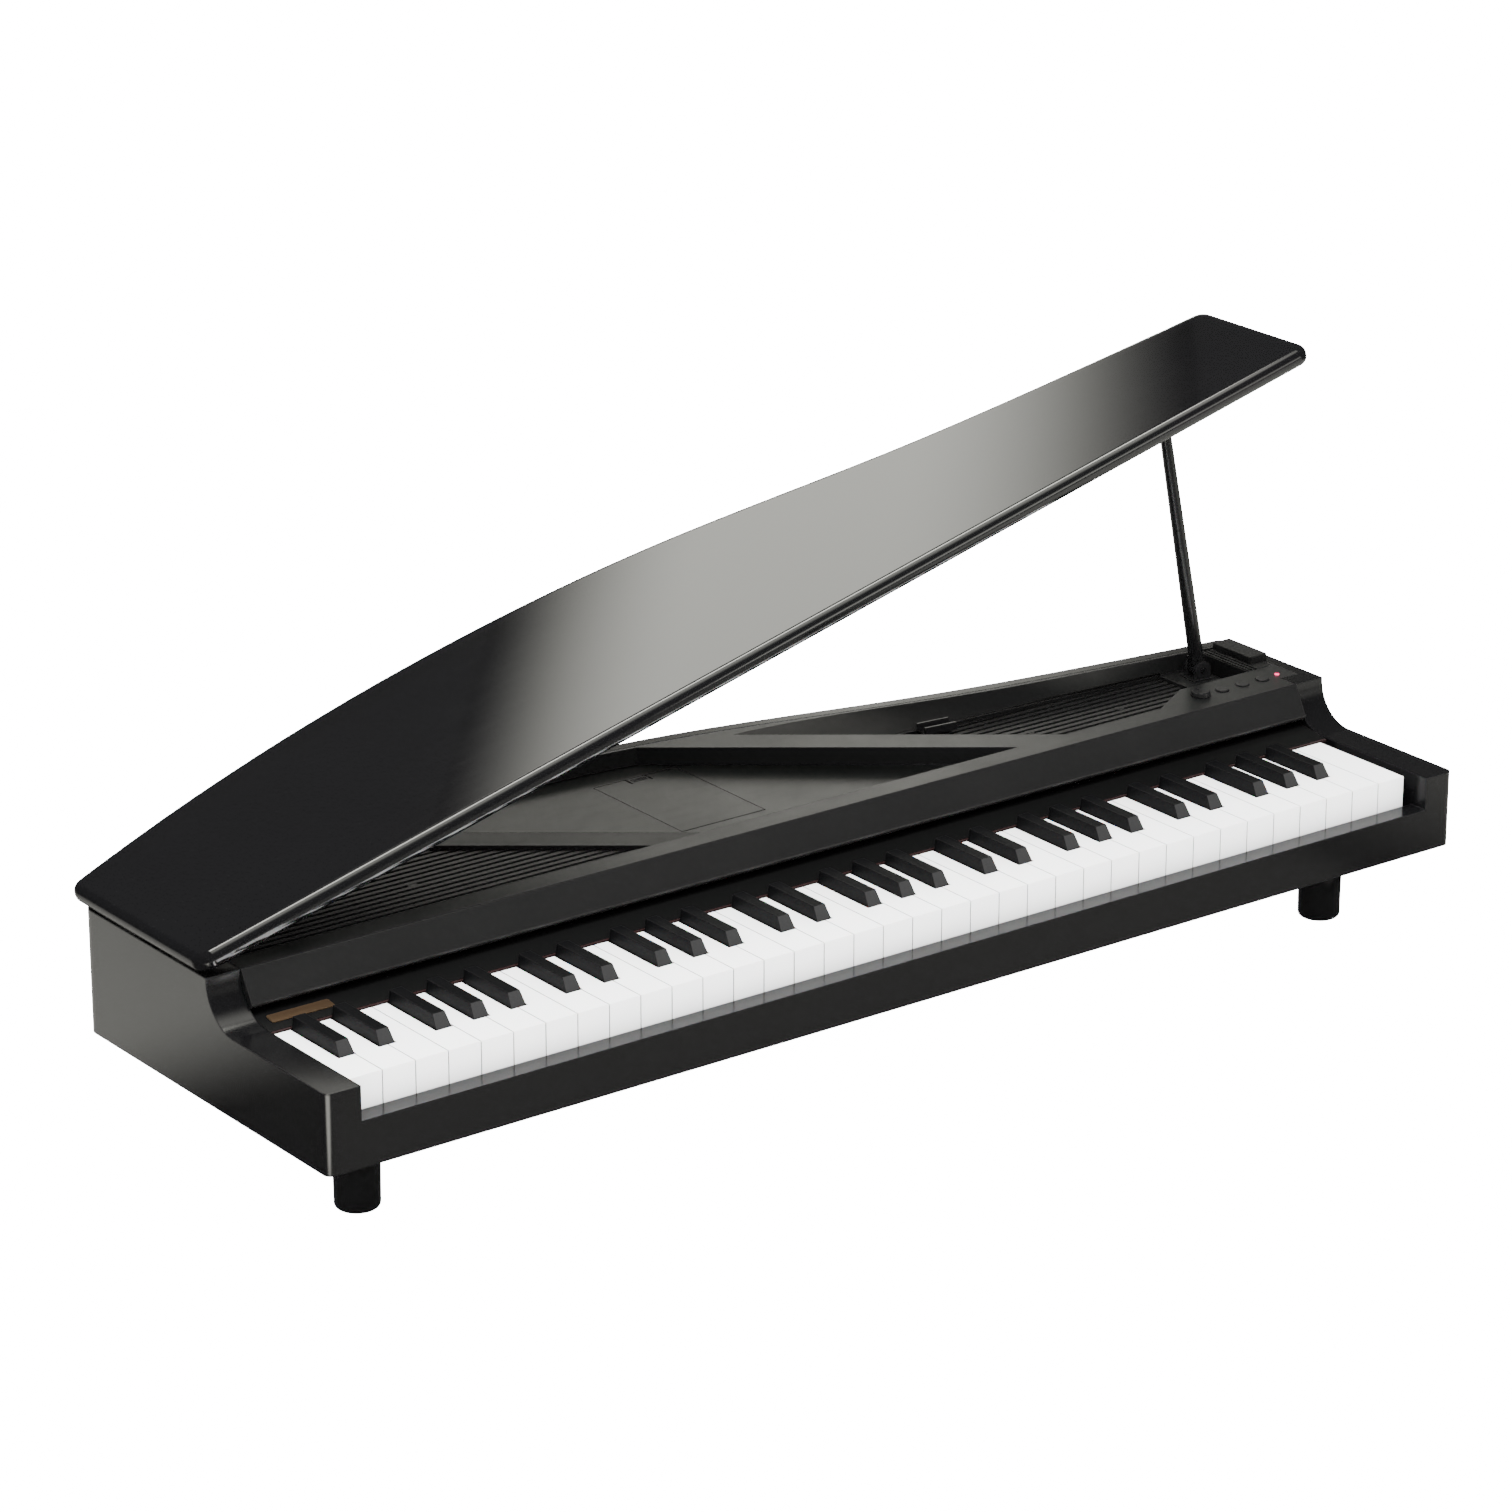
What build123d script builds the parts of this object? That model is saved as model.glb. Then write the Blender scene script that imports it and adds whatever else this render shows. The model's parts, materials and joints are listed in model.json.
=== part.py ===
"""Tabletop digital piano in the shape of a small grand, with its lid propped open.

Everything is drawn in the case's own frame: X runs along the keyboard from the middle
of the case (bass to the left), Y runs back from the front face, and Z runs up from the
underside of the case. Each finished piece is then moved to the object's frame, whose
origin lies on the floor under the middle of the whole instrument. Millimetres.
"""

import os
from math import atan, cos, degrees, radians, sin, tan

from build123d import *

# ---- driving dimensions -------------------------------------------------------------
CASE_W = 783.4
LEG_H = 51.0
ORIGIN_Y = 143.0  # the object's origin, behind the front face

SLIP_H = 26.3  # front rail below the keys
SLIP_D = 12.4
ARM_H = 46.0
ARM_R = 25.0  # hollow curve where an arm rises to the case top
TOP_H = 72.1
CHEEK_T = 21.1
WALL = 3.0
COVER_T = 2.5
RIM_W = 7.6
FIT = 0.2  # assembly gap between panels

FALL_TOP_Y = 114.3  # top front edge of the fallboard
STRIP_BACK_Y = 130.0
DECK_H = 61.6
DECK_T = 2.5

PITCH = 20.4  # white key
WHITE_KEYS = 36
KEYS_X0 = -369.6
KEY_TOP = 44.8
KEY_FRONT_Y = 12.9
TAIL_Y = 85.0
BLACK_FRONT_Y = 39.2
BLACK_W = 9.4
BLACK_TOP = 52.0
PIVOT_Y = 150.0
PIVOT_Z = 39.5
PIVOT_R = 1.5

LID_OPEN = 14.57  # degrees, held by the stick
LID_L = 793.0
LID_T = 11.0
LID_SKIN = 3.5
LID_LIP = 6.0
LID_X0 = -393.5  # closed lid: left edge, underside, front edge, overhang at the back
LID_Z0 = 75.2
LID_FRONT_Y = 112.3
LID_BACK = 7.3
HINGE_X = -386.7
HINGE_Z = TOP_H
HINGE_R = 2.2
HINGE_PIN_R = 1.1
HINGE_Y0 = (150.0, 206.0)

PROP_X = 351.5
PROP_Y = 182.0
PROP_Z = 67.5
PROP_LEAN = 10.6  # degrees off vertical, towards the bass
PROP_YAW = 6.4  # degrees the folded stick points back from the keyboard's direction
PROP_TIP_R = 3.2
PROP_BASE_R = 5.0
PROP_PIN_R = 1.5
PROP_GAP = 0.85
SEAT_DROP = 2.0  # the seat's face, above the lid's underside
SEAT_R = 11.0
CLIP_T = 187.0  # from the stick's pivot to its clip
CLIP_L = 11.0  # half its length
CLIP_H = 5.0

REST_X = 372.0  # raised bar that the closed lid drops over
REST_W = 14.0
REST_L = 35.0
REST_H = 4.5

LEG_R = 13.1
LEGS = ((-340.0, 54.8), (340.0, 54.8), (-110.0, 225.0))

# ---- derived ------------------------------------------------------------------------
HALF = CASE_W / 2
INNER_X = HALF - CHEEK_T  # inside faces of the cheeks
PANEL_X = INNER_X - 0.3
FAR = 1000.0  # bigger than anything here
# Back edge of the case, drawn a little past both sides and trimmed there.
BACK_CURVE = (
    (-402.0, 237.0),
    (-250.0, 269.3),
    (-114.0, 278.4),
    (30.0, 266.3),
    (180.0, 232.6),
    (300.0, 213.6),
    (402.0, 201.5),
)
BACK_EDGE = Spline(*BACK_CURVE)
OCTAVE = 7 * PITCH
WHITE_NAMES = ("c", "d", "e", "f", "g", "a", "b")
# Black keys: the joint between whites that each one covers, and its offset from it.
BLACK_KEYS = (
    ("c_sharp", 1, -4.6),
    ("d_sharp", 2, -0.2),
    ("f_sharp", 4, -5.7),
    ("g_sharp", 5, -2.4),
    ("a_sharp", 6, 0.9),
)
BLACK_SLOT = BLACK_W / 2 + 0.8


# ---- drawing helpers ----------------------------------------------------------------
def box(x0, x1, y0, y1, z0, z1):
    """Block between two corners."""
    centre = Pos((x0 + x1) / 2, (y0 + y1) / 2, (z0 + z1) / 2)
    return centre * Box(abs(x1 - x0), abs(y1 - y0), abs(z1 - z0))


def rod_z(x, y, r, z0, z1):
    """Upright cylinder."""
    return Pos(x, y, (z0 + z1) / 2) * Cylinder(r, abs(z1 - z0))


def rod_y(x, z, r, y0, y1):
    """Cylinder along Y."""
    return Pos(x, (y0 + y1) / 2, z) * Rot(90, 0, 0) * Cylinder(r, abs(y1 - y0))


def rod_x(y, z, r, x0, x1):
    """Cylinder along X."""
    return Pos((x0 + x1) / 2, y, z) * Rot(0, 90, 0) * Cylinder(r, abs(x1 - x0))


def cone_z(x, y, r0, r1, z0, z1):
    """Upright cone frustum, r0 at z0."""
    return Pos(x, y, (z0 + z1) / 2) * Cone(r0, r1, z1 - z0)


def prism_x(outline, x0, x1):
    """Section drawn in (y, z), run along X."""
    face = make_face(Polyline(*outline, close=True))
    return Pos(x0, 0, 0) * extrude(Plane.YZ * face, x1 - x0)


def prism_z(outline, z0, z1):
    """Outline drawn in (x, y), raised along Z."""
    face = make_face(Polyline(*outline, close=True))
    return Pos(0, 0, z0) * extrude(face, z1 - z0)


def plan(left=0.0, right=0.0, back=0.0, front=0.0):
    """Case outline from above as a face, with each side moved outwards by the given amount."""
    first, last = BACK_CURVE[0], BACK_CURVE[-1]
    sides = Polyline(last, (last[0], -FAR), (first[0], -FAR), first)
    face = Pos(0, back, 0) * make_face(Curve() + [BACK_EDGE, sides])
    x0 = -HALF - left
    x1 = HALF + right
    trim = Pos((x0 + x1) / 2, FAR / 2 - front, 0) * Rectangle(x1 - x0, FAR)
    return face & trim


def plan_block(inset, z0, z1):
    """The case outline, moved inwards on all sides, between two heights."""
    return Pos(0, 0, z0) * extrude(plan(-inset, -inset, -inset, -inset), z1 - z0)


def back_y(x):
    """The back edge of the case at a given x, by halving."""
    low, high = 0.0, 1.0
    for _ in range(30):
        middle = (low + high) / 2
        if (BACK_EDGE @ middle).X < x:
            low = middle
        else:
            high = middle
    return (BACK_EDGE @ low).Y


def upright_edges(shape, z0, z1):
    """Straight vertical edges that run the whole way from z0 to z1."""
    return [e for e in shape.edges().filter_by(Axis.Z) if abs(e.length - (z1 - z0)) < 0.01]


def open_lid(shape):
    """Turns a piece drawn on the closed lid up to the propped angle."""
    turn = Pos(HINGE_X, 0, HINGE_Z) * Rot(0, -LID_OPEN, 0) * Pos(-HINGE_X, 0, -HINGE_Z)
    return turn * shape


def closed_point(x, z):
    """Where a point in the side view goes when the lid, and it with it, is closed."""
    c = cos(radians(LID_OPEN))
    s = sin(radians(LID_OPEN))
    dx = x - HINGE_X
    dz = z - HINGE_Z
    return HINGE_X + c * dx + s * dz, HINGE_Z - s * dx + c * dz


# ---- case -----------------------------------------------------------------------------
CASE_SCREWS = (
    [(x, SLIP_D / 2) for x in (-300.0, -100.0, 100.0, 300.0)]
    + [(side * (HALF - 9.3), 60.0) for side in (-1, 1)]
    + [(x, back_y(x) - 6.2) for x in (-300.0, -180.0, 0.0, 150.0, 300.0)]
    + [(-HALF + 6.0, 190.0), (HALF - 6.0, 150.0)]
)
SCREW_R = 1.4
SCREW_HEAD_R = 2.8


def arm_cut():
    """The space in front of the case top and above the arms, with the hollow curve."""
    y1 = FALL_TOP_Y + 0.2
    outline = (
        Polyline((y1, TOP_H + 9), (-9, TOP_H + 9), (-9, ARM_H), (y1 - ARM_R, ARM_H))
        + RadiusArc((y1 - ARM_R, ARM_H), (y1, ARM_H + ARM_R), -ARM_R)
        + Line((y1, ARM_H + ARM_R), (y1, TOP_H + 9))
    )
    return Pos(-FAR / 2, 0, 0) * extrude(Plane.YZ * make_face(outline), FAR)


def boss(x, y, z1):
    """Screw boss standing on the bottom cover."""
    return rod_z(x, y, 3.9, COVER_T + FIT, z1) - rod_z(x, y, SCREW_R + 0.05, 0, z1 - 2)


def case_shell():
    """Outer walls, arms, front rail and top rim: one glossy moulding, open underneath."""
    shell = extrude(plan(), TOP_H)
    corners = upright_edges(shell, 0, TOP_H)
    front = [e for e in corners if e.center().Y < 1]
    shell = fillet(front, 4.5)
    back = [e for e in upright_edges(shell, 0, TOP_H) if e.center().Y > 150]
    shell = fillet(back, 9.0)
    shell -= arm_cut()
    shell -= box(-INNER_X, INNER_X, -9, SLIP_D + 1, SLIP_H, TOP_H + 9)
    shell -= box(-INNER_X, INNER_X, SLIP_D, STRIP_BACK_Y, -9, TOP_H + 9)
    rear = box(-FAR, FAR, STRIP_BACK_Y - 5, FAR, -9, FAR)
    shell -= plan_block(WALL, -9, TOP_H - WALL) & rear
    rear = box(-FAR, FAR, STRIP_BACK_Y - 2, FAR, -9, FAR)
    shell -= plan_block(RIM_W, TOP_H - WALL - 1, TOP_H + 9) & rear
    for side in (-1, 1):
        cheek = sorted((side * (HALF - WALL), side * (INNER_X + WALL)))
        shell -= box(*cheek, WALL, STRIP_BACK_Y - 15, -9, ARM_H - WALL)
    shell -= box(-INNER_X, INNER_X, WALL, SLIP_D - WALL, -9, SLIP_H - WALL)
    shell -= plan_block(WALL, -9, COVER_T + FIT)
    for x, y in CASE_SCREWS:
        shell += boss(x, y, 20.0 if abs(x) < HALF - 20 else ARM_H - WALL + 0.5)
    for y0 in HINGE_Y0:
        shell -= box(HINGE_X - 2.4, HINGE_X + 9, y0 - 1, y0 + 27, TOP_H - 4, TOP_H + 1)
    for x, _, radius in JACKS:
        shell -= rod_y(x, JACK_Z, radius + FIT, 250, 290)
    return shell


def bottom_cover():
    """Flat base inside the walls, with the posts that carry the chassis and the boards."""
    cover = plan_block(WALL + FIT, 0, COVER_T)
    for x, y in CHASSIS_SCREWS:
        cover += rod_z(x, y, 4.0, COVER_T, CHASSIS_Z)
        cover -= rod_z(x, y, SCREW_R + 0.05, 1.0, CHASSIS_Z + 1)
    for x, y in BOARD_POSTS:
        cover += rod_z(x, y, 3.0, COVER_T, BOARD_Z)
    for x, y in JACK_POSTS:
        cover += rod_z(x, y, 3.0, COVER_T, JACK_BOARD_Z)
    for x, y in CASE_SCREWS:
        cover -= rod_z(x, y, SCREW_R + 0.15, -1, 9)
        cover -= rod_z(x, y, SCREW_HEAD_R + 0.2, -1, 1.4)
    for x, y in LEGS:
        cover -= rod_z(x, y, STUD_R + 0.1, -1, 9)
    return cover


def case_screws():
    """Countersunk from below, up into the bosses."""
    screws = []
    for x, y in CASE_SCREWS:
        head = rod_z(x, y, SCREW_HEAD_R, 0.2, 1.4)
        slot = box(x - 3, x + 3, y - 0.4, y + 0.4, 0, 0.7)
        screws.append(head + rod_z(x, y, SCREW_R, 1.0, 14.0) - slot)
    return screws


# ---- legs -----------------------------------------------------------------------------
STUD_R = 3.0
NUT_T = 3.2
PAD_T = 2.0
PAD_OUT = 0.8  # how far a pad stands out of its leg


def legs():
    """Short turned legs, a little narrower at the foot."""
    shapes = []
    for x, y in LEGS:
        leg = cone_z(x, y, LEG_R - 0.6, LEG_R, -LEG_H + PAD_OUT, 0)
        leg = fillet(leg.edges().sort_by(Axis.Z)[0], 3.0)
        leg -= rod_z(x, y, STUD_R + 0.02, -25, 1)
        leg -= rod_z(x, y, 7.0 + 0.1, -LEG_H - 1, -LEG_H + PAD_T)
        shapes.append(leg)
    return shapes


def leg_studs():
    return [rod_z(x, y, STUD_R, -24, COVER_T + NUT_T + 0.1) for x, y in LEGS]


def leg_nuts():
    shapes = []
    for x, y in LEGS:
        hexagon = extrude(RegularPolygon(6.0, 6), NUT_T)
        nut = Pos(x, y, COVER_T) * hexagon
        shapes.append(nut - rod_z(x, y, STUD_R + 0.02, 0, 20))
    return shapes


def foot_pads():
    return [rod_z(x, y, 7.0, -LEG_H, -LEG_H + PAD_T) for x, y in LEGS]


# ---- top panel ----------------------------------------------------------------------
RIB_X = 122.4
RIB_Y = 177.2
RIB_ANGLE = -36.7
RIB_W = 21.7
RIB_SLOPE = tan(radians(RIB_ANGLE))
BATTERY = (-52.5, 6.0, 158.5, 245.5)  # opening: x0, x1, y0, y1
DOOR_T = 1.5
DOOR_GAP = 0.3
DOOR_AXIS = (BATTERY[2] + DOOR_GAP + DOOR_T / 2, DECK_H - DOOR_T / 2)  # y, z
DOOR_PIN_R = 0.45
DOOR_PIN_L = 1.2
COVE_FOOT_X = 120.0  # two points on the foot of the sloping back wall
COVE_FOOT_Y = 214.5
COVE_END_X = 353.0
COVE_END_Y = 199.5
RECESS_INSET = 10.0
LEFT_BORDER_Y = 118.2  # where the left grille's edge lines cross x = 0
LEFT_SLATS_Y = 93.2
DESK_X = 276.6  # control desk: where its slanted left side starts and ends
DESK_TOP_X = 308.0
DESK_BACK_Y = 148.6
PAD_X = 336.0  # plain floor under the stick's bracket
PAD_Y = 172.0

KNOB_X = 311.0
BUTTONS = (("tone_button", 328.0), ("mode_button", 344.0), ("power_button", 360.0))
LED_X = 373.0
CONTROL_Y = 133.0


def rib_line(x, across=0.0):
    """A line along the rib, moved sideways from its middle, as y at a given x."""
    shift = across / cos(radians(RIB_ANGLE))
    return RIB_Y + (x - RIB_X) * RIB_SLOPE + shift


def rib_x(y, across=0.0):
    """The same line as x at a given y."""
    shift = across / cos(radians(RIB_ANGLE))
    return RIB_X + (y - RIB_Y - shift) / RIB_SLOPE


def beyond_line(y_at_zero, z0, z1):
    """Everything to the right of a line parallel to the rib."""
    turned = Pos(0, y_at_zero, 0) * Rot(0, 0, RIB_ANGLE)
    return turned * box(-FAR, FAR, 0, FAR, z0, z1)


def rib_edge_y(across):
    """Where the rib's line crosses x = 0."""
    return rib_line(0.0, across)


def left_recess(z0, z1, inset=RECESS_INSET):
    """Sunken deck to the left of the rib."""
    area = plan_block(inset, z0, z1)
    area -= box(-FAR, FAR, -FAR, STRIP_BACK_Y, z0 - 1, z1 + 1)
    return area - beyond_line(rib_edge_y(-RIB_W / 2), z0 - 1, z1 + 1)


def right_front():
    """The shared front corners of the right recess."""
    x1 = HALF - RECESS_INSET
    return [
        (rib_x(STRIP_BACK_Y, RIB_W / 2), STRIP_BACK_Y),
        (DESK_X, STRIP_BACK_Y),
        (DESK_TOP_X, DESK_BACK_Y),
        (x1, DESK_BACK_Y),
    ]


def foot_y(x):
    """Foot of the sloping back wall."""
    slope = (COVE_END_Y - COVE_FOOT_Y) / (COVE_END_X - COVE_FOOT_X)
    return COVE_FOOT_Y + (x - COVE_FOOT_X) * slope


def foot_corner():
    """Where the foot of the sloping wall meets the rib."""
    slope = (COVE_END_Y - COVE_FOOT_Y) / (COVE_END_X - COVE_FOOT_X)
    x = (rib_edge_y(RIB_W / 2) - foot_y(0.0)) / (slope - RIB_SLOPE)
    return x, foot_y(x)


def right_recess():
    """Sunken area over the right speaker: its back wall leans from the floor to the rim."""
    front = right_front()
    x1 = HALF - RECESS_INSET
    low = front + [(x1, foot_y(x1) - 3.0), foot_corner()]
    lower = Pos(0, 0, DECK_H) * make_face(Polyline(*low, close=True))
    rim = [(x, back_y(x) - RECESS_INSET) for x in (x1, 320.0, 200.0, 100.0)]
    corner_x = 46.0
    corner = (corner_x, rib_line(corner_x, RIB_W / 2))
    curve = Spline(*rim, corner)
    sides = Polyline(corner, *front, rim[0])
    upper = Pos(0, 0, TOP_H + 0.5) * make_face(Curve() + [curve, sides])
    return loft([lower.face(), upper.face()], ruled=True)


def fall_section():
    """Fallboard: it leans forward from the case top to a rounded lower lip."""
    y = FALL_TOP_Y
    outline = [
        (STRIP_BACK_Y, TOP_H),
        (y, TOP_H),
        (y - 11.5, TOP_H - 20.2),
        (y - 5.3, TOP_H - 20.2),
        (y + 2.6, TOP_H - 3.0),
        (STRIP_BACK_Y, TOP_H - 3.0),
    ]
    face = make_face(Polyline(*outline, close=True))
    for lip_y, radius in ((y - 11.5, 2.4), (y - 5.3, 1.5)):
        lip = [v for v in face.vertices() if abs(v.X - lip_y) < 0.01 and v.Y < TOP_H - 19]
        face = fillet(lip, radius)
    edge = [v for v in face.vertices() if abs(v.X - y) < 0.01]
    face = fillet(edge, 1.5)
    return Pos(-PANEL_X, 0, 0) * extrude(Plane.YZ * face, 2 * PANEL_X)


def left_grille_area(z0, z1, inset=0.0):
    """Plan of the left grille panel, between the rim and its slanted border."""
    area = plan_block(RECESS_INSET + inset, z0, z1)
    area -= box(-FAR, FAR, -FAR, STRIP_BACK_Y + inset, z0 - 1, z1 + 1)
    return area - beyond_line(LEFT_BORDER_Y - inset, z0 - 1, z1 + 1)


def right_grille_outline(inset=0.0):
    """Plan of the right grille panel."""
    x1 = HALF - RECESS_INSET - inset
    front = STRIP_BACK_Y + inset
    back = [(x, foot_y(x) - inset - 0.8) for x in (PAD_X - inset, foot_corner()[0] + inset * 2)]
    return [
        (rib_x(front, RIB_W / 2 + inset), front),
        (DESK_X - inset, front),
        (DESK_TOP_X - inset, DESK_BACK_Y + inset),
        (x1, DESK_BACK_Y + inset),
        (x1, PAD_Y - inset),
        (PAD_X - inset, PAD_Y - inset),
        back[0],
        (rib_x(back[1][1], RIB_W / 2 + inset), back[1][1]),
    ]


def top_panel():
    """Satin panel between the rims: fallboard, front strip, control desk and sunken deck."""
    z0 = DECK_H - DECK_T
    panel = plan_block(RIM_W + FIT, z0, TOP_H)
    panel -= box(-FAR, FAR, -FAR, STRIP_BACK_Y - 1.8, z0 - 1, TOP_H + 1)
    panel += fall_section()
    panel -= left_recess(DECK_H, TOP_H + 1)
    panel -= right_recess()
    desk = [(DESK_X + 6, STRIP_BACK_Y - 5), (DESK_TOP_X + 3, DESK_BACK_Y - 3)]
    desk += [(HALF - RECESS_INSET, DESK_BACK_Y - 3), (HALF - RECESS_INSET, STRIP_BACK_Y - 5)]
    panel -= prism_z(desk, z0 - 1, TOP_H - 3)
    panel -= left_grille_area(z0 - 1, DECK_H + 1)
    panel -= prism_z(right_grille_outline(), z0 - 1, DECK_H + 1)
    x0, x1, y0, y1 = BATTERY
    panel -= box(x0, x1, y0, y1, z0 - 1, DECK_H + 1)
    panel -= rod_x(*DOOR_AXIS, DOOR_PIN_R + 0.05, x0 - DOOR_PIN_L - 0.2, x1 + DOOR_PIN_L + 0.2)
    panel -= rod_z(KNOB_X, CONTROL_Y, SHAFT_R + 0.6, z0, TOP_H + 1)
    for _, x in BUTTONS:
        panel -= rod_z(x, CONTROL_Y, BUTTON_R + 0.3, z0, TOP_H + 1)
    panel -= rod_z(LED_X, CONTROL_Y + 1.5, LED_R + 0.1, z0, TOP_H + 1)
    return panel


# ---- grilles and speakers -------------------------------------------------------------
GRILLE_T = 4.0
SLAT_PITCH = 5.7
SLOT_W = 2.6
SLAT_TOP = DECK_H - 2.0
SPEAKERS = ((-250.0, 186.0), (246.0, 172.0))
SPEAKER_R = 31.0
SPEAKER_TOP = DECK_H - GRILLE_T - FIT
CLAMP_AT = SPEAKER_R + 3.6


def slots(x0, x1, z0, z1):
    """Long slots along X, over the whole deck depth."""
    bars = []
    y = STRIP_BACK_Y + 4.0
    while y < 268:
        bars.append(box(x0, x1, y, y + SLOT_W, z0, z1))
        y += SLAT_PITCH
    return Part() + bars


def clamp_points(x, y):
    """Three screw places around a speaker."""
    return [(x + CLAMP_AT * cos(a), y + CLAMP_AT * sin(a)) for a in map(radians, (0, 180, 270))]


def finish_grille(plate, field, x0, x1, speaker):
    """Sinks the slatted field, cuts its slots and adds cross bars and clamp bosses."""
    z0 = DECK_H - GRILLE_T
    plate -= field & box(-FAR, FAR, -FAR, FAR, SLAT_TOP, FAR)
    cuts = field & slots(x0, x1, z0 - 1, SLAT_TOP + 1)
    x = x0 + 55.0
    while x < x1:
        cuts -= box(x - 1.2, x + 1.2, 0, FAR, z0 - 2, SLAT_TOP - 0.9)
        x += 55.0
    plate -= cuts
    for cx, cy in clamp_points(*speaker):
        plate += rod_z(cx, cy, 3.0, SPEAKER_TOP - 1.6, SLAT_TOP - 0.2)
        plate -= rod_z(cx, cy, 1.05, SPEAKER_TOP - 3, SLAT_TOP - 1.0)
    return plate


def grille_left():
    """Slatted cover of the left speaker, with a plain slanted border."""
    z0 = DECK_H - GRILLE_T
    plate = left_grille_area(z0, DECK_H, FIT)
    field = left_grille_area(z0 - 2, DECK_H + 2, 2.5)
    field -= beyond_line(LEFT_SLATS_Y, z0 - 3, DECK_H + 3)
    return finish_grille(plate, field, -HALF, 0, SPEAKERS[0])


def grille_right():
    """Slatted cover of the right speaker."""
    z0 = DECK_H - GRILLE_T
    plate = prism_z(right_grille_outline(FIT), z0, DECK_H)
    field = prism_z(right_grille_outline(2.0), z0 - 2, DECK_H + 2)
    return finish_grille(plate, field, 90, HALF, SPEAKERS[1])


def speaker_section(points):
    """Turns an (r, z) outline measured down from the speaker's flange into a solid."""
    face = make_face(Polyline(*[(r, SPEAKER_TOP + z) for r, z in points], close=True))
    return revolve(Plane.XZ * face, Axis.Z)


def at_speakers(solid):
    return [Pos(x, y, 0) * solid for x, y in SPEAKERS]


def speaker_baskets():
    outer = [(SPEAKER_R, 0), (SPEAKER_R, -1.5), (SPEAKER_R - 4, -1.5), (17, -13), (17, -18.5)]
    inner = [(9, -18.5), (9, -17), (15.4, -17), (15.4, -13.5), (SPEAKER_R - 5.5, 0)]
    return at_speakers(speaker_section(outer + inner))


def speaker_cones():
    r = SPEAKER_R - 6.8
    points = [(r, -0.2), (r - 0.8, -0.2), (8.6, -12.0), (0, -9.5), (0, -10.5), (8.6, -13.0), (r, -1.0)]
    return at_speakers(speaker_section(points))


def speaker_magnets():
    points = [(0, -27), (16, -27), (16, -18.6), (8.5, -18.6), (8.5, -14.6), (0, -14.6)]
    return at_speakers(speaker_section(points))


def speaker_screws():
    shapes = []
    for spot in SPEAKERS:
        for x, y in clamp_points(*spot):
            head = rod_z(x, y, 4.4, SPEAKER_TOP - 3.0, SPEAKER_TOP - 1.7)
            shapes.append(head + rod_z(x, y, 1.0, SPEAKER_TOP - 2, SLAT_TOP - 1.2))
    return shapes


# ---- keyboard -------------------------------------------------------------------------
KEY_GAP = 0.3
KEY_WALL = 1.6
KEY_SKIRT = 20.0
KEY_BODY_Z = 33.0
LEVER_Z0 = 36.0
LEVER_Z1 = 43.0
LEVER_END_Y = 154.0
CHASSIS_Z = 6.0
CHASSIS_T = 2.5
CHASSIS_TOP = CHASSIS_Z + CHASSIS_T
CHASSIS_SCREWS = [(x, y) for x in (-300.0, 0.0, 300.0) for y in (60.0, 135.0)]
DOME_Y = 110.0
CONTACT_Z = 22.0
BOARD_T = 1.6


def black_x(octave, joint, offset):
    """Middle of a black key."""
    return KEYS_X0 + octave * OCTAVE + joint * PITCH + offset


def white_tail(index):
    """Middle of the narrow part of a white key, between its black neighbours."""
    octave, name = divmod(index, 7)
    left = KEYS_X0 + index * PITCH
    right = left + PITCH
    for _, joint, offset in BLACK_KEYS:
        middle = black_x(octave, joint, offset)
        if joint == name:
            left = middle + BLACK_SLOT
        if joint == name + 1:
            right = middle - BLACK_SLOT
    return (left + right) / 2


def lever(middle, half):
    """Rear part of a key, with its hole for the pivot rod."""
    bar = box(middle - half, middle + half, TAIL_Y - 2, LEVER_END_Y, LEVER_Z0, LEVER_Z1)
    return bar - rod_x(PIVOT_Y, PIVOT_Z, PIVOT_R + 0.06, middle - 9, middle + 9)


def white_key(index):
    """Hollow head, tail between the black keys, and lever."""
    octave, name = divmod(index, 7)
    x0 = KEYS_X0 + index * PITCH + KEY_GAP
    x1 = KEYS_X0 + (index + 1) * PITCH - KEY_GAP
    y0 = KEY_FRONT_Y
    key = box(x0, x1, y0, TAIL_Y, KEY_BODY_Z, KEY_TOP)
    key += box(x0, x1, y0, y0 + 2, KEY_SKIRT, KEY_BODY_Z)
    key -= box(x0 + KEY_WALL, x1 - KEY_WALL, y0 + 2, BLACK_FRONT_Y - 3, 0, KEY_TOP - 2)
    key -= box(x0 - 1, x1 + 1, BLACK_FRONT_Y - 3, FAR, 0, LEVER_Z0)
    last = index == WHITE_KEYS - 1
    for _, joint, offset in BLACK_KEYS:
        if joint in (name, name + 1) and not (last and joint == name + 1):
            middle = black_x(octave, joint, offset)
            key -= box(middle - BLACK_SLOT, middle + BLACK_SLOT, BLACK_FRONT_Y - 0.8, FAR, 0, FAR)
    return key + lever(white_tail(index), 4.0)


def black_key(octave, joint, offset):
    """Tapered cap with a sloping front, and lever."""
    middle = black_x(octave, joint, offset)
    side = [
        (BLACK_FRONT_Y, LEVER_Z0),
        (BLACK_FRONT_Y, KEY_TOP),
        (BLACK_FRONT_Y + 4.6, BLACK_TOP),
        (TAIL_Y, BLACK_TOP),
        (TAIL_Y, LEVER_Z0),
    ]
    half = BLACK_W / 2
    section = [
        (middle - half, LEVER_Z0),
        (middle + half, LEVER_Z0),
        (middle + half, KEY_TOP),
        (middle + half - 0.9, BLACK_TOP),
        (middle - half + 0.9, BLACK_TOP),
        (middle - half, KEY_TOP),
    ]
    face = make_face(Polyline(*section, close=True))
    taper = extrude(Plane.XZ * face, -FAR)
    cap = prism_x(side, middle - half, middle + half) & taper
    return cap + lever(middle, 3.5)


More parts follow.
